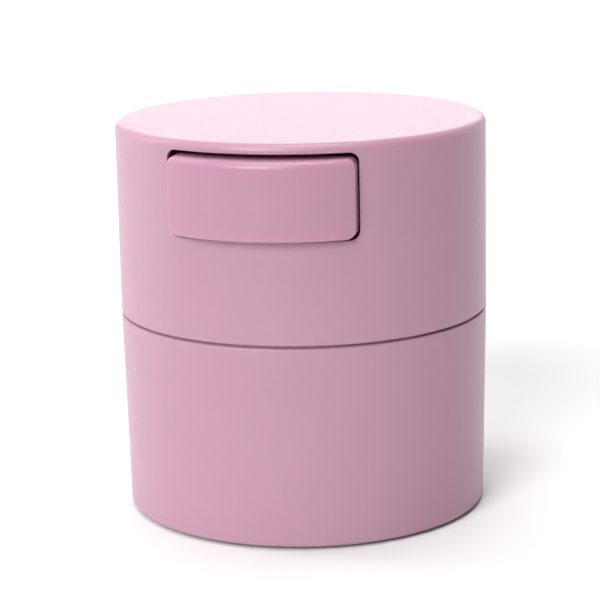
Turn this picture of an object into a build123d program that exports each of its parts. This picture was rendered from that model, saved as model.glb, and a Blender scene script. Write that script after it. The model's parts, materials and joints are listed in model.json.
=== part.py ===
"""A round pill splitter: a pink canister whose hinged lid carries the blade.

Millimetres, +Z up. The origin is on the table, under the middle of the canister.
The push button faces -Y and the hinge is behind, at +Y. Everything is drawn shut.
"""

from build123d import *

import os
from math import cos, radians, sin, sqrt, tan

# ---------------------------------------------------------------- driving dimensions
body_radius = 30.0  # outside of both halves at the seam
total_height = 64.0  # table to the top of the lid
seam_height = 32.7  # middle of the gap between the halves
seam_gap = 0.4
seam_depth = 0.8  # how far in the open seam reaches before the rim of the base closes it
seam_contact_gap = 0.1
seam_edge_fillet = 0.3
base_draft = 1.0  # degrees, the lower half narrows towards the table
wall = 2.2
rim_step = 0.6  # how much thicker the lower half is than the lid
top_thickness = 1.5
top_fillet = 1.2
bottom_fillet = 0.8

foot_stand_off = 0.4  # how far the foot ring holds the shell above the table
foot_groove_depth = 0.8
foot_setback = 1.8  # from the outside of the body
foot_width = 3.6
foot_edge_fillet = 0.25

floor_thickness = 2.8
cap_setback = 0.2  # the cap's face above the underside of the shell
cap_clearance = 0.3
cap_seat_width = 3.0  # ring that the cap's flange closes, around the opening
cap_recess_depth = 1.3
cap_flange = 1.0
cap_thickness = 2.8
cap_neck_height = 3.0
cap_neck_wall = 1.7
cap_hollow_depth = 1.6
cap_rim_width = 4.0
cap_bar_width = 5.0
lug_count = 3
lug_reach = 1.5
lug_width = 6.0
lug_height = 1.4
lug_lift = 0.3  # above the floor that the lugs hold
lug_post_clearance = 0.4
notch_clearance = 0.6
seal_wire_radius = 0.5
seal_squeeze = 0.05

deck_thickness = 2.0
deck_drop = 2.0  # deck top below the rim of the base
deck_fit = 0.15
collar_wall = 1.75
collar_rise = 3.5  # above the rim of the base
collar_fillet = 0.4
ledge_width = 1.0
deck_screw_angles = (70, 110, 210, 330)  # degrees from +X, clear of the guard and the latch
deck_screw_clearance = 0.1  # heads to the collar
deck_boss_radius = 2.6

blade_thickness = 0.3
blade_length = 24.0
blade_top_gap = 1.5  # blade's back below the liner
blade_below_floor = 0.5
blade_bevel = 1.2
blade_post_clearance = 0.9  # blade's ends to the guard's spring seats

holder_width = 27.0
holder_corner = 2.0
holder_plate = 1.2
holder_front_margin = 1.0  # plate in front of the blade
holder_back_margin = 2.0  # plate behind the blade
pocket_clearance = 0.1
holder_screw_inset = 4.0  # from the plate's sides
holder_screw_setback = 7.0  # from the plate's back edge
holder_screw_length = 3.5
vee_half_angle = 35.0
vee_tip_setback = 4.5  # the two walls would stop this far in front of the blade's back end
vee_gap = 1.6  # half the gap between the walls at the tip
vee_wall_length = 19.0
vee_wall_thickness = 1.8
vee_height = 7.5
grip_thickness = 1.2
grip_drop = 0.6  # below the top of the walls
groove_width = 1.0
groove_depth = 0.8

lid_top_space = 11.0  # from the liner's upper face to the top of the lid
liner_thickness = 2.0
liner_clearance = 0.3
liner_boss_radius = 2.6
liner_boss_setback = 9.8  # from the inside of the lid's wall, sideways
liner_boss_y = 9.0
block_reach = 4.0  # outer face of the block beside the blade
block_depth = 6.5
block_end_margin = 0.3
clamp_thickness = 2.85
clamp_chamfer = 1.0
clamp_screw_drop = 3.5  # clamp screws below the underside of the liner
clamp_screw_inset = 5.5  # from the blade's ends
clamp_screw_bite = 2.4

guard_clearance = 0.5  # above the deck when shut
guard_travel = 7.0
guard_plate = 0.75
guard_slot = 0.5  # half the slot that the blade passes through
guard_slot_margin = 0.8
guard_height = 5.0
guard_end_margin = 1.0
guard_post_radius = 1.5
guard_post_clearance = 0.15
guard_seat_radius = 2.6
guard_seat_height = 1.5
guard_head_radius = 2.2
guard_head_height = 1.4
guard_head_gap = 0.2  # heads above the liner
guard_head_clearance = 0.9  # heads to the wall behind the button
guard_screw_radius = 0.8
guard_spring_wire = 0.25
guard_spring_radius = 2.05
guard_spring_turns = 7

window_width = 30.0
window_height = 13.5
window_top_drop = 1.5  # window's upper edge below the top of the lid
window_corner = 1.5
button_side_gap = 0.35
button_top_gap = 0.85
button_bottom_gap = 0.4
button_proud = 2.2
button_crown_radius = 25.4
button_top_fillet = 1.2
button_bottom_fillet = 0.4
button_side_fillet = 0.3
button_wall = 1.8
button_travel = 2.0
button_boss_wall = 1.2
button_screw_x = 8.0
button_screw_rise = 1.5  # above the middle of the button
button_screw_radius = 1.2
button_screw_bite = 2.8
button_screw_clearance = 0.15
button_head_radius = 2.2
button_head_height = 1.2
button_head_gap = 0.1
button_spring_room = 2.3  # left for the springs when the button is pressed
button_spring_wire = 0.2
button_spring_radius = 1.9
button_spring_turns = 4

slider_thickness = 1.6
slider_half_width = 11.0
slider_height_less = 1.0  # shorter than the button by this
slider_clearance = 0.5  # to the front edge of the liner, when pressed
latch_clearance = 0.3
arm_half_width = 5.0
hook_slope_start = 0.4
hook_edge = 0.5
hook_thickness = 1.4
hook_above_deck = 1.1
lip_gap = 0.2
lip_thickness = 1.4
lip_notch_half_width = 7.0
lip_notch_margin = 2.0

guide_thickness = 1.5
guide_half_width = 13.0
guide_top_gap = 1.0
guide_foot_length = 5.6
guide_foot_height = 1.4
guide_foot_clearance = 1.0  # round the heads of the guard's screws
guide_screw_inset = 3.5
guide_screw_setback = 3.9

hinge_offset = 3.0  # pin centre behind the body
knuckle_radius = 2.4
knuckle_gap = 0.3
lid_knuckle_half_width = 4.8
base_knuckle_width = 6.5
web_height = 6.5  # where the webs would meet the inside of the wall, from the seam
web_gap = 0.1  # webs to the rims of the halves
web_inset = 0.5  # webs narrower than their knuckles, each side
pin_radius = 1.0
pin_chamfer = 0.2
pin_fit = 0.02
pin_run = 0.06

screw_radius = 1.0
screw_head_radius = 2.0
screw_head_height = 1.2
screw_length = 7.0
screw_end_gap = 0.5
screw_tip_setback = 0.2
drive_radius = 0.7
drive_depth = 0.7
spring_seat_gap = 0.02

# ---------------------------------------------------------------- derived heights
base_bottom = foot_stand_off
base_top = seam_height - seam_gap / 2
lid_bottom = seam_height + seam_gap / 2
rim_top = lid_bottom - seam_contact_gap
floor_top = base_bottom + floor_thickness
ceiling = total_height - top_thickness
deck_top = base_top - deck_drop
deck_bottom = deck_top - deck_thickness
collar_top = base_top + collar_rise
liner_top = total_height - lid_top_space
liner_bottom = liner_top - liner_thickness
block_bottom = liner_bottom - block_depth
blade_edge = deck_top - blade_below_floor
blade_top = liner_bottom - blade_top_gap
clamp_screw_z = liner_bottom - clamp_screw_drop
guard_bottom = deck_top + guard_clearance
guard_top = guard_bottom + guard_height
guard_seat = guard_top + guard_seat_height
post_top = liner_top + guard_head_gap
window_top = total_height - window_top_drop
window_bottom = window_top - window_height
button_top = window_top - button_top_gap
button_bottom = window_bottom + button_bottom_gap
button_height = button_top - button_bottom
button_middle = (button_top + button_bottom) / 2
button_screw_z = button_middle + button_screw_rise
hook_bottom = deck_top + hook_above_deck
hook_top = hook_bottom + hook_thickness
lip_bottom = hook_top + lip_gap
lip_top = lip_bottom + lip_thickness
cap_bottom = base_bottom + cap_setback
cap_top = cap_bottom + cap_thickness
seal_z = (base_bottom + cap_recess_depth + floor_top) / 2

# ---------------------------------------------------------------- derived radii
bottom_radius = body_radius - (base_top - base_bottom) * tan(radians(base_draft))
lid_inner_radius = body_radius - wall
base_inner_radius = lid_inner_radius - rim_step
ledge_radius = base_inner_radius - ledge_width
deck_radius = base_inner_radius - deck_fit
collar_inner_radius = deck_radius - collar_wall
deck_screw_circle = collar_inner_radius - screw_head_radius - deck_screw_clearance
liner_radius = lid_inner_radius - liner_clearance
foot_outer_radius = body_radius - foot_setback
foot_inner_radius = foot_outer_radius - foot_width
lug_circle = deck_screw_circle - deck_boss_radius - lug_post_clearance
cap_radius = lug_circle - lug_reach
cap_opening_radius = cap_radius + cap_clearance
cap_recess_radius = cap_opening_radius + cap_seat_width
seal_radius = cap_opening_radius - seal_squeeze - seal_wire_radius

# ---------------------------------------------------------------- derived places, from front to back
button_front = -(body_radius + button_proud)
button_width = window_width - 2 * button_side_gap
hook_tip = -(sqrt(base_inner_radius**2 - arm_half_width**2) - latch_clearance)
slider_front = -(sqrt(collar_inner_radius**2 - arm_half_width**2) - latch_clearance)
slider_back = slider_front + slider_thickness
liner_front = slider_back + button_travel + slider_clearance
guide_front = slider_back + button_travel + button_spring_room
guide_back = guide_front + guide_thickness
post_front = guide_back + guard_head_radius + guard_head_clearance
blade_front = post_front + guard_seat_radius + blade_post_clearance
blade_back = blade_front + blade_length
post_back = blade_back + blade_post_clearance + guard_seat_radius
blade_middle = (blade_front + blade_back) / 2
vee_tip = blade_back - vee_tip_setback
holder_back = blade_back + holder_back_margin
holder_length = holder_front_margin + blade_length + holder_back_margin
holder_middle = holder_back - holder_length / 2
hinge_y = body_radius + hinge_offset
pin_half_length = lid_knuckle_half_width + knuckle_gap + base_knuckle_width
guard_half_width = guard_slot + guard_plate
clamp_face = -blade_thickness / 2 - clamp_thickness
liner_boss_x = lid_inner_radius - liner_boss_setback

deck_screw_places = [
    (deck_screw_circle * cos(radians(angle)), deck_screw_circle * sin(radians(angle)))
    for angle in deck_screw_angles
]
guard_posts = [(0, post_front), (0, post_back)]
liner_bosses = [(x, y) for x in (-liner_boss_x, liner_boss_x) for y in (-liner_boss_y, liner_boss_y)]
guide_screw_places = [
    (side * (guide_half_width - guide_screw_inset), guide_back + guide_screw_setback) for side in (-1, 1)
]
holder_screw_places = [
    (side * (holder_width / 2 - holder_screw_inset), holder_back - holder_screw_setback) for side in (-1, 1)
]
button_screw_places = [(side * button_screw_x, button_screw_z) for side in (-1, 1)]
clamp_screw_places = [
    (y, clamp_screw_z) for y in (blade_front + clamp_screw_inset, blade_back - clamp_screw_inset)
]

os.makedirs("parts", exist_ok=True)


def save(builder, name):
    """Labels a finished piece and writes it as parts/NAME.step."""
    builder.part.label = name
    export_step(builder.part, f"parts/{name}.step")


def pan_head_screw(seat, up, length):
    """One pan-head screw on its own axis: seat is the height of the head's underside.

    up is 1 when the head is above its seat and -1 when the screw is driven from below.
    """
    with BuildPart(mode=Mode.PRIVATE) as screw:
        with BuildSketch(Plane.XY.offset(seat)):
            Circle(screw_head_radius)
        extrude(amount=up * screw_head_height)
        with BuildSketch(Plane.XY.offset(seat)):
            Circle(screw_radius)
        extrude(amount=-up * length)
        with BuildSketch(Plane.XY.offset(seat + up * screw_head_height)):
            RegularPolygon(drive_radius, 6)
        extrude(amount=-up * drive_depth, mode=Mode.SUBTRACT)
    return screw.part


# ---------------------------------------------------------------- base half
with BuildPart() as base_shell:
    with BuildSketch(Plane.XZ):
        with BuildLine():
            Polyline(
                (0, base_bottom),
                (bottom_radius, base_bottom),
                (body_radius, base_top),
                (body_radius - seam_depth, base_top),
                (body_radius - seam_depth, rim_top),
                (base_inner_radius, rim_top),
                (base_inner_radius, deck_bottom),
                (ledge_radius, deck_bottom),
                (ledge_radius, floor_top),
                (0, floor_top),
                close=True,
            )
        make_face()
    revolve(axis=Axis.Z)
    bottom_edge = base_shell.edges().filter_by(GeomType.CIRCLE).group_by(Axis.Z)[0]
    fillet(bottom_edge, bottom_fillet)
    rim_edge = base_shell.edges().filter_by(GeomType.CIRCLE).sort_by(SortBy.RADIUS)[-1]
    fillet(rim_edge, seam_edge_fillet)
    # posts under the deck
    with BuildSketch(Plane.XY.offset(floor_top)):
        with Locations(*deck_screw_places):
            Circle(deck_boss_radius)
    extrude(amount=deck_bottom - floor_top)
    with BuildSketch(Plane.XY.offset(deck_bottom)):
        with Locations(*deck_screw_places):
            Circle(screw_radius)
    extrude(amount=-screw_length, mode=Mode.SUBTRACT)
    # recess and opening for the storage cap, with a notch for each of its lugs
    with BuildSketch(Plane.XY.offset(base_bottom)):
        Circle(cap_recess_radius)
    extrude(amount=cap_recess_depth, mode=Mode.SUBTRACT)
    with BuildSketch(Plane.XY.offset(base_bottom)):
        Circle(cap_opening_radius)
        with PolarLocations(cap_opening_radius, lug_count, start_angle=30):
            Rectangle(2 * (lug_reach - cap_clearance + notch_clearance), lug_width + 2 * notch_clearance)
    extrude(amount=floor_thickness, mode=Mode.SUBTRACT)
    # groove for the foot ring
    with BuildSketch(Plane.XY.offset(base_bottom)):
        Circle(foot_outer_radius)
        Circle(foot_inner_radius, mode=Mode.SUBTRACT)
    extrude(amount=foot_groove_depth, mode=Mode.SUBTRACT)
    # hinge knuckles, each on a web that grows out of the wall
    for side in (-1, 1):
        knuckle_middle = side * (pin_half_length - base_knuckle_width / 2)
        with BuildSketch(Plane.YZ.offset(knuckle_middle)):
            with Locations((hinge_y, seam_height)):
                Circle(knuckle_radius)
        extrude(amount=base_knuckle_width / 2, both=True)
        with BuildSketch(Plane.YZ.offset(knuckle_middle)):
            with BuildLine():
                Polyline(
                    (lid_inner_radius, base_top - web_gap),
                    (hinge_y - knuckle_radius / 2, base_top - web_gap),
                    (hinge_y, seam_height),
                    Vector(hinge_y, seam_height) + Vector(knuckle_radius, 0).rotate(Axis.Z, -20),
                    (lid_inner_radius, seam_height - web_height),
                    close=True,
                )
            make_face()
        extrude(amount=base_knuckle_width / 2 - web_inset, both=True)
    with BuildSketch(Plane.YZ.offset(-pin_half_length)):
        with Locations((hinge_y, seam_height)):
            Circle(pin_radius + pin_fit)
    extrude(amount=2 * pin_half_length, mode=Mode.SUBTRACT)
save(base_shell, "base_shell")

with BuildPart() as foot_ring:
    with BuildSketch(Plane.XY):
        Circle(foot_outer_radius)
        Circle(foot_inner_radius, mode=Mode.SUBTRACT)
    extrude(amount=foot_stand_off + foot_groove_depth)
    fillet(foot_ring.edges().filter_by(GeomType.CIRCLE).group_by(Axis.Z)[0], foot_edge_fillet)
save(foot_ring, "foot_ring")

with BuildPart() as deck:
    with BuildSketch(Plane.XY.offset(deck_bottom)):
        Circle(deck_radius)
    extrude(amount=deck_thickness)
    with BuildSketch(Plane.XY.offset(deck_top)):
        Circle(deck_radius)
        Circle(collar_inner_radius, mode=Mode.SUBTRACT)
    extrude(amount=collar_top - deck_top)
    fillet(deck.edges().filter_by(GeomType.CIRCLE).group_by(Axis.Z)[-1], collar_fillet)
    # the front of the collar is cut away above and below the catch lip
    for notch_bottom, notch_top in ((deck_top, lip_bottom), (lip_top, collar_top)):
        with BuildSketch(Plane.XY.offset(notch_bottom)):
            with Locations((0, -deck_radius)):
                Rectangle(2 * lip_notch_half_width, 2 * (collar_wall + lip_notch_margin))
        extrude(amount=notch_top - notch_bottom, mode=Mode.SUBTRACT)
    # pocket for the pill holder, and screw holes
    with BuildSketch(Plane.XY.offset(deck_top)):
        with Locations((0, holder_middle)):
            RectangleRounded(
                holder_width + 2 * pocket_clearance,
                holder_length + 2 * pocket_clearance,
                holder_corner + pocket_clearance,
            )
    extrude(amount=-holder_plate, mode=Mode.SUBTRACT)
    with BuildSketch(Plane.XY.offset(deck_bottom)):
        with Locations(*deck_screw_places):
            Circle(screw_radius)
        with Locations(*holder_screw_places):
            Circle(screw_radius)
    extrude(amount=deck_thickness, mode=Mode.SUBTRACT)
save(deck, "deck")

with BuildPart() as deck_screws:
    with Locations(*deck_screw_places):
        add(pan_head_screw(deck_top, 1, deck_thickness + screw_length - screw_end_gap))
save(deck_screws, "deck_screws")

# the walls of the pill holder run forward and outward from the blade
vee_start = Vector(vee_gap, vee_tip)
vee_along = Vector(0, -1).rotate(Axis.Z, vee_half_angle)
vee_outward = Vector(1, 0).rotate(Axis.Z, vee_half_angle)


def vee_strip(inner, outer):
    """The outline of a strip along the right-hand wall, between two distances from its inner face."""
    vee_end = vee_start + vee_along * vee_wall_length
    return [
        vee_start + vee_outward * inner,
        vee_end + vee_outward * inner,
        vee_end + vee_outward * outer,
        vee_start + vee_outward * outer,
    ]


with BuildPart() as pill_holder:
    with BuildSketch(Plane.XY.offset(deck_top - holder_plate)):
        with Locations((0, holder_middle)):
            RectangleRounded(holder_width, holder_length, holder_corner)
    extrude(amount=holder_plate)
    with BuildSketch(Plane.XY.offset(deck_top)):
        with BuildLine():
            Polyline(*vee_strip(grip_thickness, grip_thickness + vee_wall_thickness), close=True)
        make_face()
        mirror(about=Plane.YZ)
    extrude(amount=vee_height)
    # groove that the blade's edge ends in
    with BuildSketch(Plane.XY.offset(deck_top)):
        with Locations((0, holder_middle)):
            Rectangle(groove_width, holder_length)
    extrude(amount=-groove_depth, mode=Mode.SUBTRACT)
    with BuildSketch(Plane.XY.offset(deck_top)):
        with Locations(*holder_screw_places):
            Circle(screw_radius)
    extrude(amount=-holder_plate, mode=Mode.SUBTRACT)
save(pill_holder, "pill_holder")

for name, side in (("grip_right", 1), ("grip_left", -1)):
    with BuildPart() as grip:
        with BuildSketch(Plane.XY.offset(deck_top)):
            with BuildLine():
                Polyline(*[(side * p.X, p.Y) for p in vee_strip(0, grip_thickness)], close=True)
            make_face()
        extrude(amount=vee_height - grip_drop)
    save(grip, name)

with BuildPart() as holder_screws:
    with Locations(*holder_screw_places):
        add(pan_head_screw(deck_top, 1, holder_screw_length))
save(holder_screws, "holder_screws")

with BuildPart() as hinge_pin:
    with BuildSketch(Plane.YZ.offset(-pin_half_length)):
        with Locations((hinge_y, seam_height)):
            Circle(pin_radius)
    extrude(amount=2 * pin_half_length)
    chamfer(hinge_pin.edges(), pin_chamfer)
save(hinge_pin, "hinge_pin")

# ---------------------------------------------------------------- storage cap in the underside
with BuildPart() as storage_cap:
    with BuildSketch(Plane.XY.offset(cap_bottom)):
        Circle(cap_recess_radius - cap_clearance)
    extrude(amount=cap_flange)
    with BuildSketch(Plane.XY.offset(cap_bottom)):
        Circle(cap_radius)
    extrude(amount=cap_thickness)
    with BuildSketch(Plane.XY.offset(cap_top)):
        Circle(cap_radius)
        Circle(cap_radius - cap_neck_wall, mode=Mode.SUBTRACT)
    extrude(amount=cap_neck_height)
    with BuildSketch(Plane.XY.offset(floor_top + lug_lift)):
        with PolarLocations(cap_radius, lug_count, start_angle=90):
            Rectangle(2 * lug_reach, lug_width)
        Circle(cap_radius - cap_neck_wall, mode=Mode.SUBTRACT)
    extrude(amount=lug_height)
    # two finger hollows leave a bar to turn the cap by
    with BuildSketch(Plane.XY.offset(cap_bottom)):
        Circle(cap_radius - cap_rim_width)
        Rectangle(cap_bar_width, 2 * cap_radius, mode=Mode.SUBTRACT)
    extrude(amount=cap_hollow_depth, mode=Mode.SUBTRACT)
    # groove for the seal
    with BuildSketch(Plane.XZ):
        with Locations((seal_radius, seal_z)):
            Rectangle(4 * seal_wire_radius, 2 * seal_wire_radius)
    revolve(axis=Axis.Z, mode=Mode.SUBTRACT)
save(storage_cap, "storage_cap")

with BuildPart() as cap_seal:
    with BuildSketch(Plane.XZ):
        with Locations((seal_radius, seal_z)):
            Circle(seal_wire_radius)
    revolve(axis=Axis.Z)
save(cap_seal, "cap_seal")

# ---------------------------------------------------------------- lid half
with BuildPart() as lid_shell:
    with BuildSketch(Plane.XY.offset(lid_bottom)):
        Circle(body_radius)
    extrude(amount=total_height - lid_bottom)
    fillet(lid_shell.edges().group_by(Axis.Z)[-1], top_fillet)
    fillet(lid_shell.edges().filter_by(GeomType.CIRCLE).group_by(Axis.Z)[0], seam_edge_fillet)
    with BuildSketch(Plane.XY.offset(lid_bottom)):
        Circle(lid_inner_radius)
    extrude(amount=ceiling - lid_bottom, mode=Mode.SUBTRACT)
    # bosses that the liner is screwed to
    with BuildSketch(Plane.XY.offset(liner_top)):
        with Locations(*liner_bosses):
            Circle(liner_boss_radius)
    extrude(amount=ceiling - liner_top)
    with BuildSketch(Plane.XY.offset(liner_top)):
        with Locations(*liner_bosses):
            Circle(screw_radius)
    extrude(amount=screw_length - liner_thickness + screw_end_gap, mode=Mode.SUBTRACT)
    # window for the push button
    with BuildSketch(Plane.XZ.offset(-guide_front)):
        with Locations((0, (window_top + window_bottom) / 2)):
            RectangleRounded(window_width, window_height, window_corner)
    extrude(amount=body_radius, mode=Mode.SUBTRACT)
    # hinge knuckle and its web
    with BuildSketch(Plane.YZ):
        with Locations((hinge_y, seam_height)):
            Circle(knuckle_radius)
    extrude(amount=lid_knuckle_half_width, both=True)
    with BuildSketch(Plane.YZ):
        with BuildLine():
            Polyline(
                (lid_inner_radius + seam_edge_fillet, lid_bottom + web_gap),
                (hinge_y - knuckle_radius / 2, lid_bottom + web_gap),
                (hinge_y, seam_height),
                Vector(hinge_y, seam_height) + Vector(knuckle_radius, 0).rotate(Axis.Z, 20),
                (lid_inner_radius + seam_edge_fillet, seam_height + web_height),
                close=True,
            )
        make_face()
    extrude(amount=lid_knuckle_half_width - web_inset, both=True)
    with BuildSketch(Plane.YZ.offset(-pin_half_length)):
        with Locations((hinge_y, seam_height)):
            Circle(pin_radius + pin_run)
    extrude(amount=2 * pin_half_length, mode=Mode.SUBTRACT)
save(lid_shell, "lid_shell")

with BuildPart() as lid_liner:
    with BuildSketch(Plane.XY.offset(liner_bottom)):
        Circle(liner_radius)
        # straight front edge, clear of the button and its slider
        with Locations((0, -liner_radius)):
            Rectangle(2 * liner_radius, 2 * (liner_radius + liner_front), mode=Mode.SUBTRACT)
        with Locations(*liner_bosses, *guide_screw_places):
            Circle(screw_radius, mode=Mode.SUBTRACT)
        with Locations(*guard_posts):
            Circle(guard_post_radius + guard_post_clearance, mode=Mode.SUBTRACT)
    extrude(amount=liner_thickness)
    # block that the blade is clamped to
    with BuildSketch(Plane.XY.offset(block_bottom)):
        with Locations((block_reach / 2 + blade_thickness / 4, blade_middle)):
            Rectangle(block_reach - blade_thickness / 2, blade_length + 2 * block_end_margin)
    extrude(amount=block_depth)
    with BuildSketch(Plane.YZ):
        with Locations(*clamp_screw_places):
            Circle(screw_radius)
    extrude(amount=blade_thickness / 2 + clamp_screw_bite + screw_end_gap, mode=Mode.SUBTRACT)
save(lid_liner, "lid_liner")

with BuildPart() as liner_screws:
    with Locations(*liner_bosses):
        add(pan_head_screw(liner_bottom, -1, screw_length))
save(liner_screws, "liner_screws")

with BuildPart() as blade:
    half = blade_thickness / 2
    with BuildSketch(Plane.XZ.offset(-blade_back)):
        with BuildLine():
            Polyline(
                (0, blade_edge),
                (half, blade_edge + blade_bevel),
                (half, blade_top),
                (-half, blade_top),
                (-half, blade_edge + blade_bevel),
                close=True,
            )
        make_face()
    extrude(amount=blade_length)
    with BuildSketch(Plane.YZ.offset(-blade_thickness)):
        with Locations(*clamp_screw_places):
            Circle(screw_radius)
    extrude(amount=2 * blade_thickness, mode=Mode.SUBTRACT)
save(blade, "blade")

with BuildPart() as blade_clamp:
    with BuildSketch(Plane.XY.offset(block_bottom)):
        with Locations(((clamp_face - blade_thickness / 2) / 2, blade_middle)):
            Rectangle(clamp_thickness, blade_length + 2 * block_end_margin)
    extrude(amount=block_depth)
    chamfer(blade_clamp.edges().filter_by(Axis.Y).group_by(Axis.Z)[0].sort_by(Axis.X)[0], clamp_chamfer)
    with BuildSketch(Plane.YZ.offset(clamp_face)):
        with Locations(*clamp_screw_places):
            Circle(screw_radius)
    extrude(amount=clamp_thickness, mode=Mode.SUBTRACT)
save(blade_clamp, "blade_clamp")

with BuildPart() as clamp_screws:
    with BuildSketch(Plane.YZ.offset(clamp_face)):
        with Locations(*clamp_screw_places):
            Circle(screw_head_radius)
    extrude(amount=-screw_head_height)
    with BuildSketch(Plane.YZ.offset(clamp_face)):
        with Locations(*clamp_screw_places):
            Circle(screw_radius)
    extrude(amount=clamp_thickness + blade_thickness + clamp_screw_bite)
    with BuildSketch(Plane.YZ.offset(clamp_face - screw_head_height)):
        with Locations(*clamp_screw_places):
            RegularPolygon(drive_radius, 6)
    extrude(amount=drive_depth, mode=Mode.SUBTRACT)
save(clamp_screws, "clamp_screws")

with BuildPart() as button_guide:
    with BuildSketch(Plane.XY.offset(liner_top)):
        with Locations((0, guide_front + guide_thickness / 2)):
            Rectangle(2 * guide_half_width, guide_thickness)
    extrude(amount=ceiling - guide_top_gap - liner_top)
    # feet on the liner, one each side of the guard's front screw
    with BuildSketch(Plane.XY.offset(liner_top)):
        with Locations((0, guide_back + guide_foot_length / 2)):
            Rectangle(2 * guide_half_width, guide_foot_length)
            Rectangle(2 * (guard_head_radius + guide_foot_clearance), guide_foot_length, mode=Mode.SUBTRACT)
    extrude(amount=guide_foot_height)
    with BuildSketch(Plane.XZ.offset(-guide_back)):
        with Locations(*button_screw_places):
            Circle(button_screw_radius + button_screw_clearance)
    extrude(amount=guide_thickness, mode=Mode.SUBTRACT)
    with BuildSketch(Plane.XY.offset(liner_top)):
        with Locations(*guide_screw_places):
            Circle(screw_radius)
    extrude(amount=guide_foot_height, mode=Mode.SUBTRACT)
save(button_guide, "button_guide")

with BuildPart() as guide_screws:
    with Locations(*guide_screw_places):
        add(pan_head_screw(liner_bottom, -1, liner_thickness + guide_foot_height - screw_tip_setback))
save(guide_screws, "guide_screws")

# ---------------------------------------------------------------- push button and its latch
with BuildPart(mode=Mode.PRIVATE) as button_hollow:
    with BuildSketch(Plane.XZ.offset(-slider_front)):
        with Locations((0, button_middle)):
            Rectangle(button_width - 2 * button_wall, button_height - 2 * button_wall)
        with Locations(*button_screw_places):
            Circle(button_screw_radius + button_boss_wall, mode=Mode.SUBTRACT)
    extrude(amount=body_radius)
    with BuildSketch(Plane.XY.offset(button_bottom)):
        with Locations((0, button_front + button_crown_radius)):
            Circle(button_crown_radius - button_wall)
    extrude(amount=button_height, mode=Mode.INTERSECT)

# the crown is part of a flat disc, with a wide rounding round its top edge
with BuildPart(mode=Mode.PRIVATE) as button_crown:
    with BuildSketch(Plane.XY.offset(button_bottom)):
        with Locations((0, button_front + button_crown_radius)):
            Circle(button_crown_radius)
    extrude(amount=button_height)
    fillet(button_crown.edges().group_by(Axis.Z)[-1], button_top_fillet)
    fillet(button_crown.edges().group_by(Axis.Z)[0], button_bottom_fillet)

with BuildPart() as push_button:
    with BuildSketch(Plane.XZ.offset(-slider_front)):
        with Locations((0, button_middle)):
            RectangleRounded(button_width, button_height, window_corner)
    extrude(amount=body_radius)
    add(button_crown.part, mode=Mode.INTERSECT)
    crown_sides = push_button.edges().filter_by(Axis.Z).sort_by(Axis.Y)[:2]
    fillet(crown_sides, button_side_fillet)
    add(button_hollow.part, mode=Mode.SUBTRACT)
    with BuildSketch(Plane.XZ.offset(-slider_front)):
        with Locations(*button_screw_places):
            Circle(button_screw_radius)
    extrude(amount=button_screw_bite + screw_tip_setback, mode=Mode.SUBTRACT)
save(push_button, "push_button")

with BuildPart() as latch_slider:
    with BuildSketch(Plane.XZ.offset(-slider_back)):
        with Locations((0, button_middle)):
            RectangleRounded(2 * slider_half_width, button_height - slider_height_less, slider_height_less)
        with Locations((0, (button_middle + hook_bottom) / 2)):
            Rectangle(2 * arm_half_width, button_middle - hook_bottom)
        with Locations(*button_screw_places):
            Circle(button_screw_radius, mode=Mode.SUBTRACT)
    extrude(amount=slider_thickness)
    # the hook, sloped underneath so that the lid clicks shut by itself
    with BuildSketch(Plane.YZ):
        with BuildLine():
            Polyline(
                (slider_back, hook_bottom),
                (slider_front - hook_slope_start, hook_bottom),
                (hook_tip, hook_top - hook_edge),
                (hook_tip, hook_top),
                (slider_back, hook_top),
                close=True,
            )
        make_face()
    extrude(amount=arm_half_width, both=True)
save(latch_slider, "latch_slider")

button_head_y = guide_back + button_head_gap
with BuildPart() as button_screws:
    with BuildSketch(Plane.XZ.offset(-button_head_y)):
        with Locations(*button_screw_places):
            Circle(button_head_radius)
    extrude(amount=-button_head_height)
    with BuildSketch(Plane.XZ.offset(-button_head_y)):
        with Locations(*button_screw_places):
            Circle(button_screw_radius)
    extrude(amount=button_head_y - slider_front + button_screw_bite)
    with BuildSketch(Plane.XZ.offset(-button_head_y - button_head_height)):
        with Locations(*button_screw_places):
            RegularPolygon(drive_radius, 6)
    extrude(amount=drive_depth, mode=Mode.SUBTRACT)
save(button_screws, "button_screws")

button_spring_start = slider_back + button_spring_wire + spring_seat_gap
button_spring_length = guide_front - slider_back - 2 * (button_spring_wire + spring_seat_gap)
for name, side in (("button_spring_right", 1), ("button_spring_left", -1)):
    with BuildPart() as button_spring:
        with BuildLine() as coil:
            Helix(
                pitch=button_spring_length / button_spring_turns,
                height=button_spring_length,
                radius=button_spring_radius,
                center=(side * button_screw_x, button_spring_start, button_screw_z),
                direction=(0, 1, 0),
            )
        with BuildSketch(Plane(origin=coil.line @ 0, z_dir=coil.line % 0)):
            Circle(button_spring_wire)
        sweep(path=coil.line, is_frenet=True)
    save(button_spring, name)

# ---------------------------------------------------------------- sprung blade guard
with BuildPart() as blade_guard:
    with BuildSketch(Plane.XY.offset(guard_bottom)):
        with Locations((0, (post_front + post_back) / 2)):
            Rectangle(
                2 * guard_half_width,
                post_back - post_front + 2 * (guard_half_width + guard_end_margin),
            )
        with Locations((0, blade_middle)):
            Rectangle(2 * guard_slot, blade_length + 2 * guard_slot_margin, mode=Mode.SUBTRACT)
    extrude(amount=guard_height)
    with BuildSketch(Plane.XY.offset(guard_top)):
        with Locations(*guard_posts):
            Circle(guard_seat_radius)
    extrude(amount=guard_seat_height)
    with BuildSketch(Plane.XY.offset(guard_seat)):
        with Locations(*guard_posts):
            Circle(guard_post_radius)
    extrude(amount=post_top - guard_seat)
    with BuildSketch(Plane.XY.offset(post_top)):
        with Locations(*guard_posts):
            Circle(guard_screw_radius)
    extrude(amount=-screw_length, mode=Mode.SUBTRACT)
save(blade_guard, "blade_guard")

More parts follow.
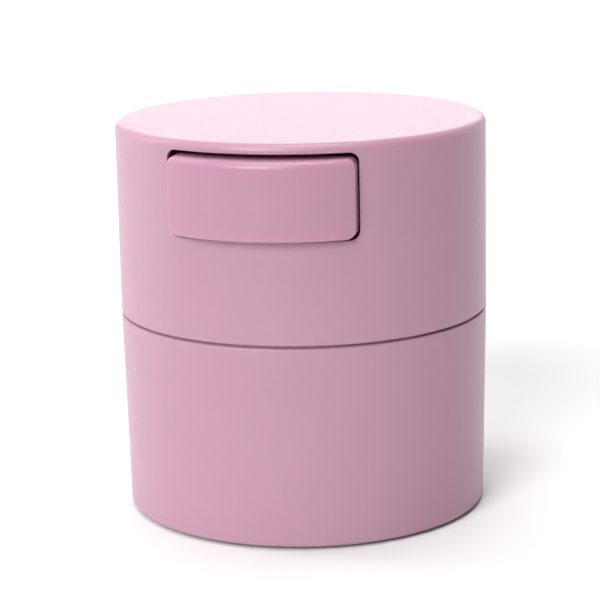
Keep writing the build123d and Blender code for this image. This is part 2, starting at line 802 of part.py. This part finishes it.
with BuildPart() as guard_screws:
    with BuildSketch(Plane.XY.offset(post_top)):
        with Locations(*guard_posts):
            Circle(guard_head_radius)
    extrude(amount=guard_head_height)
    with BuildSketch(Plane.XY.offset(post_top)):
        with Locations(*guard_posts):
            Circle(guard_screw_radius)
    extrude(amount=screw_end_gap - screw_length)
    with BuildSketch(Plane.XY.offset(post_top + guard_head_height)):
        with Locations(*guard_posts):
            RegularPolygon(drive_radius, 6)
    extrude(amount=-drive_depth, mode=Mode.SUBTRACT)
save(guard_screws, "guard_screws")

guard_spring_length = liner_bottom - guard_seat - 2 * (guard_spring_wire + spring_seat_gap)
for name, y in (("guard_spring_front", post_front), ("guard_spring_back", post_back)):
    with BuildPart() as guard_spring:
        with BuildLine() as coil:
            Helix(
                pitch=guard_spring_length / guard_spring_turns,
                height=guard_spring_length,
                radius=guard_spring_radius,
                center=(0, y, guard_seat + guard_spring_wire + spring_seat_gap),
            )
        with BuildSketch(Plane(origin=coil.line @ 0, z_dir=coil.line % 0)):
            Circle(guard_spring_wire)
        sweep(path=coil.line, is_frenet=True)
    save(guard_spring, name)
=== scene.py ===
"""Looks for the round pill splitter: materials, studio light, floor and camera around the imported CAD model.

Metres, +Z up, in the frame's own axes. The push button faces -Y.
"""

import json
from math import cos, pi, radians, sin

import bmesh
import bpy
from mathutils import Matrix, Vector


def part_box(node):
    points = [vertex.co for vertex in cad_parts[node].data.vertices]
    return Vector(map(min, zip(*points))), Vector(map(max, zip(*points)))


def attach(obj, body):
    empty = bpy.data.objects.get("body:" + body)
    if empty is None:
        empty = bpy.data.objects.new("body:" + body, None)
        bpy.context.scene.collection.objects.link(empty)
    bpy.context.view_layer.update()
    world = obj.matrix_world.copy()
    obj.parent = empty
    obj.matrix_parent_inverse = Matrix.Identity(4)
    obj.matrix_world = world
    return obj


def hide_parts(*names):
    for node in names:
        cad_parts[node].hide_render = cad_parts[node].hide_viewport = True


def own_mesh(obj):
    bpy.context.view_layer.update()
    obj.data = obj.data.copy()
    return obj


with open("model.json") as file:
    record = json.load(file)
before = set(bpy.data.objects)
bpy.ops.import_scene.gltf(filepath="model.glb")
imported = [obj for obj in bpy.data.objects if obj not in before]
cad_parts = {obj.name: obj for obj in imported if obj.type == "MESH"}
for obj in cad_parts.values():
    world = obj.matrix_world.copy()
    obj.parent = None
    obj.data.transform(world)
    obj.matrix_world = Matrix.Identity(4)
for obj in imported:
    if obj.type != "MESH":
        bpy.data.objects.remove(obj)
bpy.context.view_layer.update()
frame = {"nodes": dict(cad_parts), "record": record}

# ---------------------------------------------------------------- sizes read from the frame
shell_low, shell_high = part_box("base_shell")
body_width = shell_high[0] - shell_low[0]
body_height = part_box("lid_shell")[1][2]
body_middle = Vector((0, 0, body_height / 2))


# ---------------------------------------------------------------- node helpers
class Nodes:
    """A material's node tree with short ways to add and join nodes."""

    def __init__(self, name):
        self.material = bpy.data.materials.new(name)
        self.material.use_nodes = True
        self.tree = self.material.node_tree
        self.shader = self.tree.nodes["Principled BSDF"]
        coordinates = self.tree.nodes.new("ShaderNodeTexCoord")
        self.place = coordinates.outputs["Object"]

    def link(self, source, target):
        self.tree.links.new(source, target)

    def noise(self, scale, detail=4.0, roughness=0.5, stretch=(1, 1, 1)):
        """Noise with one feature about every 1/scale metres, optionally stretched along an axis."""
        mapping = self.tree.nodes.new("ShaderNodeMapping")
        mapping.inputs["Scale"].default_value = stretch
        self.link(self.place, mapping.inputs["Vector"])
        node = self.tree.nodes.new("ShaderNodeTexNoise")
        node.inputs["Scale"].default_value = scale
        node.inputs["Detail"].default_value = detail
        node.inputs["Roughness"].default_value = roughness
        self.link(mapping.outputs["Vector"], node.inputs["Vector"])
        return node.outputs["Fac"]

    def ramp(self, value, low, high, to_low=0.0, to_high=1.0):
        """Maps value from low..high to to_low..to_high, clamped."""
        node = self.tree.nodes.new("ShaderNodeMapRange")
        node.inputs["From Min"].default_value = low
        node.inputs["From Max"].default_value = high
        node.inputs["To Min"].default_value = to_low
        node.inputs["To Max"].default_value = to_high
        self.link(value, node.inputs["Value"])
        return node.outputs["Result"]

    def blend(self, factor, first, second):
        """A colour between first and second."""
        node = self.tree.nodes.new("ShaderNodeMix")
        node.data_type = "RGBA"
        self.link(factor, node.inputs["Factor"])
        for socket, colour in ((node.inputs[6], first), (node.inputs[7], second)):
            if isinstance(colour, tuple):
                socket.default_value = (*colour, 1)
            else:
                self.link(colour, socket)
        return node.outputs[2]

    def bump(self, height, distance, strength=1.0, below=None):
        """Bump of the given depth in metres, on top of another bump if there is one."""
        node = self.tree.nodes.new("ShaderNodeBump")
        node.inputs["Strength"].default_value = strength
        node.inputs["Distance"].default_value = distance
        self.link(height, node.inputs["Height"])
        if below is not None:
            self.link(below, node.inputs["Normal"])
        return node.outputs["Normal"]

    def set(self, **values):
        """Sets shader sockets: a socket is linked, anything else becomes the socket's own value."""
        for name, value in values.items():
            socket = self.shader.inputs[name.replace("_", " ")]
            if isinstance(value, bpy.types.NodeSocket):
                self.link(value, socket)
            else:
                socket.default_value = (*value, 1) if socket.type == "RGBA" else value


# ---------------------------------------------------------------- materials
def moulded_plastic(name, colour, shade, rough, grain=0.000006, scatter=0.0):
    """Moulded plastic: faint cloudy colour, fine spark-eroded grain, and roughness that varies a little."""
    nodes = Nodes(name)
    cloud = nodes.noise(60, detail=5)
    grain_height = nodes.noise(5200, detail=2)
    wave = nodes.noise(45, detail=2)
    tint = nodes.blend(nodes.ramp(cloud, 0.25, 0.75), colour, shade)
    bumped = nodes.bump(wave, 0.00004, 0.6, nodes.bump(grain_height, grain))
    nodes.set(
        Base_Color=tint,
        Roughness=nodes.ramp(nodes.noise(900, detail=3), 0.3, 0.7, rough - 0.04, rough + 0.05),
        Normal=bumped,
        Subsurface_Weight=scatter,
        Subsurface_Radius=(0.006, 0.0030, 0.0038),
        Subsurface_Scale=1.0,
        IOR=1.49,
    )
    return nodes.material


RIB_SCALE = 350
RIB_DEPTH = 0.0001


def rubber(name, colour, shade):
    """Soft thermoplastic rubber: matt, with fine level ribs and an even grain."""
    nodes = Nodes(name)
    tint = nodes.blend(nodes.ramp(nodes.noise(220, detail=5), 0.3, 0.7), colour, shade)
    ribs = nodes.tree.nodes.new("ShaderNodeTexWave")
    ribs.bands_direction = "Z"
    ribs.inputs["Scale"].default_value = RIB_SCALE
    nodes.link(nodes.place, ribs.inputs["Vector"])
    grain = nodes.bump(nodes.noise(4200, detail=2), 0.00001)
    nodes.set(
        Base_Color=tint,
        Roughness=nodes.ramp(nodes.noise(1500, detail=3), 0.3, 0.7, 0.62, 0.8),
        Normal=nodes.bump(ribs.outputs["Fac"], RIB_DEPTH, 1.0, grain),
        Sheen_Weight=0.15,
        IOR=1.45,
    )
    return nodes.material


def metal(name, colour, rough, stretch, depth):
    """Ground or drawn steel: fine noise, drawn out into lines where stretch is small along an axis."""
    nodes = Nodes(name)
    lines = nodes.noise(2600, detail=6, roughness=0.65, stretch=stretch)
    nodes.set(
        Base_Color=nodes.blend(nodes.ramp(lines, 0.3, 0.7), tuple(0.82 * c for c in colour), colour),
        Metallic=1.0,
        Roughness=nodes.ramp(lines, 0.25, 0.75, rough - 0.07, rough + 0.09),
        Normal=nodes.bump(lines, depth),
    )
    return nodes.material


PINK = (0.485, 0.270, 0.362)
PINK_SHADE = (0.470, 0.258, 0.350)
PINK_SCATTER = 0.35
BUTTON_PINK = (0.475, 0.248, 0.345)
HOLDER_WHITE = (0.84, 0.82, 0.80)
HOLDER_SHADE = (0.80, 0.78, 0.76)
HOLDER_GRAIN = 0.0000025
looks = {
    "pink_plastic": moulded_plastic("satin_pink", PINK, PINK_SHADE, 0.36, scatter=PINK_SCATTER),
    "button_plastic": moulded_plastic("button_pink", BUTTON_PINK, PINK_SHADE, 0.33, scatter=PINK_SCATTER),
    "deck_plastic": moulded_plastic("warm_white", (0.78, 0.74, 0.73), (0.74, 0.70, 0.69), 0.45, scatter=0.1),
    "holder_plastic": moulded_plastic("holder_white", HOLDER_WHITE, HOLDER_SHADE, 0.40, HOLDER_GRAIN, 0.15),
    "clamp_plastic": moulded_plastic("acetal_grey", (0.48, 0.46, 0.47), (0.44, 0.42, 0.43), 0.42),
    "guard_plastic": moulded_plastic("guard_grey", (0.62, 0.62, 0.64), (0.58, 0.58, 0.60), 0.40, scatter=0.1),
    "foot_rubber": rubber("foot_grey", (0.27, 0.25, 0.26), (0.23, 0.215, 0.22)),
    "grip_rubber": rubber("grip_grey", (0.20, 0.18, 0.20), (0.165, 0.15, 0.165)),
    "screw_steel": metal("zinc_screw", (0.72, 0.72, 0.73), 0.28, (1, 1, 1), 0.0000012),
    "pin_steel": metal("drawn_pin", (0.62, 0.62, 0.63), 0.28, (0.04, 1, 1), 0.000003),
    "blade_steel": metal("ground_blade", (0.70, 0.71, 0.73), 0.22, (1, 0.05, 1), 0.000003),
    "spring_steel": metal("spring_wire", (0.58, 0.58, 0.60), 0.30, (1, 1, 1), 0.0000012),
}
for entry in frame["record"]["subparts"]:
    shown = frame["nodes"][entry["node"]]
    for slot in shown.material_slots:
        slot.material = looks[entry["material_slot"]]


# ---------------------------------------------------------------- coil springs
def coil_mesh(name, start, axis, length, radius, wire, turns):
    """A compression spring of round wire from start along axis, its end turns closed flat."""
    axis = Vector(axis)
    across = axis.orthogonal().normalized()
    beside = axis.cross(across)
    closed_turns = 1.25
    steps_per_turn = 28
    sides = 10
    steps = int(turns * steps_per_turn)
    open_rise = length - 2 * wire - 2 * closed_turns * 2 * wire

    def rise(turn):
        """How far along the axis the wire's middle is after this many turns."""
        closed_pitch = 2 * wire
        if turn < closed_turns:
            return wire + closed_pitch * turn
        if turn > turns - closed_turns:
            return length - wire - closed_pitch * (turns - turn)
        share = (turn - closed_turns) / (turns - 2 * closed_turns)
        return wire + closed_pitch * closed_turns + open_rise * share

    middles = []
    for step in range(steps + 1):
        turn = turns * step / steps
        angle = 2 * pi * turn
        middles.append(start + axis * rise(turn) + radius * (across * cos(angle) + beside * sin(angle)))
    shape = bmesh.new()
    rings = []
    for step, middle in enumerate(middles):
        ahead = middles[min(step + 1, steps)] - middles[max(step - 1, 0)]
        outward = (middle - start) - axis * (middle - start).dot(axis)
        outward = (outward - ahead * outward.dot(ahead) / ahead.length_squared).normalized()
        other = ahead.normalized().cross(outward)
        ring = []
        for side in range(sides):
            angle = 2 * pi * side / sides
            ring.append(shape.verts.new(middle + wire * (outward * cos(angle) + other * sin(angle))))
        rings.append(ring)
    for first, second in zip(rings, rings[1:]):
        for side in range(sides):
            following = (side + 1) % sides
            shape.faces.new((first[side], first[following], second[following], second[side]))
    shape.faces.new(list(reversed(rings[0])))
    shape.faces.new(rings[-1])
    bmesh.ops.recalc_face_normals(shape, faces=shape.faces)
    mesh = bpy.data.meshes.new(name)
    shape.to_mesh(mesh)
    shape.free()
    mesh.shade_smooth()
    return mesh


def spring_for(node, axis, wire, turns):
    """Stands in for a spring's plain CAD solid with closed ends, and is hung on the lid's body."""
    low, high = (Vector(corner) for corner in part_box(node))
    axis = Vector(axis)
    middle = (low + high) / 2
    length = abs((high - low).dot(axis))
    radius = (high.x - low.x) / 2 - wire
    start = middle - axis * length / 2
    mesh = coil_mesh(node + "_coil", start, axis, length, radius, wire, turns)
    mesh.materials.append(looks["spring_steel"])
    piece = bpy.data.objects.new(node + "_coil", mesh)
    bpy.context.scene.collection.objects.link(piece)
    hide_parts(node)
    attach(piece, "lid")
    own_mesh(piece)


GUARD_WIRE = 0.00025  # radius of the wire
BUTTON_WIRE = 0.00020
GUARD_TURNS = 9.5
BUTTON_TURNS = 5.5
for end in ("front", "back"):
    spring_for(f"guard_spring_{end}", (0, 0, 1), GUARD_WIRE, GUARD_TURNS)
for end in ("left", "right"):
    spring_for(f"button_spring_{end}", (0, 1, 0), BUTTON_WIRE, BUTTON_TURNS)


# ---------------------------------------------------------------- floor, light and camera
def plain_floor():
    """A pale floor that curves up into a backdrop far behind the object."""
    reach = 40 * body_width
    back = 14 * body_width
    bend = 6 * body_width
    steps = 24
    profile = [(-reach, 0), (back, 0)]
    for step in range(1, steps + 1):
        angle = pi / 2 * step / steps
        profile.append((back + bend * sin(angle), bend * (1 - cos(angle))))
    profile.append((back + bend, reach))
    vertices = [(side * reach, y, z) for y, z in profile for side in (-1, 1)]
    faces = [(2 * i, 2 * i + 1, 2 * i + 3, 2 * i + 2) for i in range(len(profile) - 1)]
    mesh = bpy.data.meshes.new("floor")
    mesh.from_pydata(vertices, [], faces)
    mesh.shade_smooth()
    floor = bpy.data.objects.new("floor", mesh)
    bpy.context.scene.collection.objects.link(floor)
    nodes = Nodes("floor_paper")
    nodes.set(
        Base_Color=nodes.blend(nodes.noise(9, detail=3), (0.79, 0.79, 0.79), (0.81, 0.81, 0.81)),
        Roughness=0.9,
        Specular_IOR_Level=0.1,
    )
    mesh.materials.append(nodes.material)


def soft_light(name, azimuth, elevation, distance, size, power):
    """An area light aimed at the object's middle, placed like the camera by azimuth and elevation."""
    data = bpy.data.lights.new(name, "AREA")
    data.shape = "RECTANGLE"
    data.size, data.size_y = size
    data.energy = power
    light = bpy.data.objects.new(name, data)
    bpy.context.scene.collection.objects.link(light)
    back = direction(azimuth, elevation)
    light.location = body_middle + back * distance
    light.rotation_euler = back.to_track_quat("Z", "Y").to_euler()


def soft_sun(name, azimuth, elevation, spread, strength):
    """A sun with a wide disc, spread degrees across, so that the floor is lit evenly to its far edge."""
    data = bpy.data.lights.new(name, "SUN")
    data.energy = strength
    data.angle = radians(spread)
    light = bpy.data.objects.new(name, data)
    bpy.context.scene.collection.objects.link(light)
    light.rotation_euler = direction(azimuth, elevation).to_track_quat("Z", "Y").to_euler()


def direction(azimuth, elevation):
    """From the object towards a viewer: azimuth 0 is at -Y and 90 at +X, in degrees."""
    a, e = radians(azimuth), radians(elevation)
    return Vector((sin(a) * cos(e), -cos(a) * cos(e), sin(e)))


CAMERA_AZIMUTH = 13.1
CAMERA_ELEVATION = 12.6
CAMERA_ROLL = -1.15
CAMERA_LENS = 132.1
CAMERA_DISTANCE = 6.07  # the rest are in body widths
CAMERA_RISE = 0.07
AIM_RIGHT = -0.0112
AIM_UP = 0.0204


def make_camera():
    """The long-lens camera, a little above and to the right of the button, slightly rolled."""
    back = direction(CAMERA_AZIMUTH, CAMERA_ELEVATION)
    right = Vector((0, 0, 1)).cross(back).normalized()
    up = back.cross(right)
    turned = Matrix.Rotation(radians(CAMERA_ROLL), 3, back)
    right, up = turned @ right, turned @ up
    aim = body_middle + right * AIM_RIGHT * body_width + up * AIM_UP * body_width
    place = body_middle + up * CAMERA_RISE * body_width + back * CAMERA_DISTANCE * body_width
    view = (place - aim).normalized()
    right = up.cross(view).normalized()
    up = view.cross(right)
    data = bpy.data.cameras.new("camera")
    data.sensor_width = 36
    data.lens = CAMERA_LENS
    data.clip_start = 0.01
    data.clip_end = 20
    camera = bpy.data.objects.new("camera", data)
    bpy.context.scene.collection.objects.link(camera)
    camera.matrix_world = Matrix.Translation(place) @ Matrix((right, up, view)).transposed().to_4x4()
    bpy.context.scene.camera = camera


plain_floor()
soft_sun("overhead", 0, 88, 40, 1.96)
soft_sun("front", -14, 30, 30, 2.62)
soft_light("left_tall", -95, 30, 0.60, (0.20, 0.60), 1.13)
soft_light("low_left", -100, 8, 0.45, (0.20, 0.34), 0.13)
soft_light("back", 193, 22, 0.80, (0.60, 0.30), 1.02)
world = bpy.data.worlds.new("studio")
world.use_nodes = True
world.node_tree.nodes["Background"].inputs["Color"].default_value = (1, 1, 1, 1)
world.node_tree.nodes["Background"].inputs["Strength"].default_value = 0.0
bpy.context.scene.world = world
bpy.context.scene.view_settings.view_transform = "Standard"
make_camera()
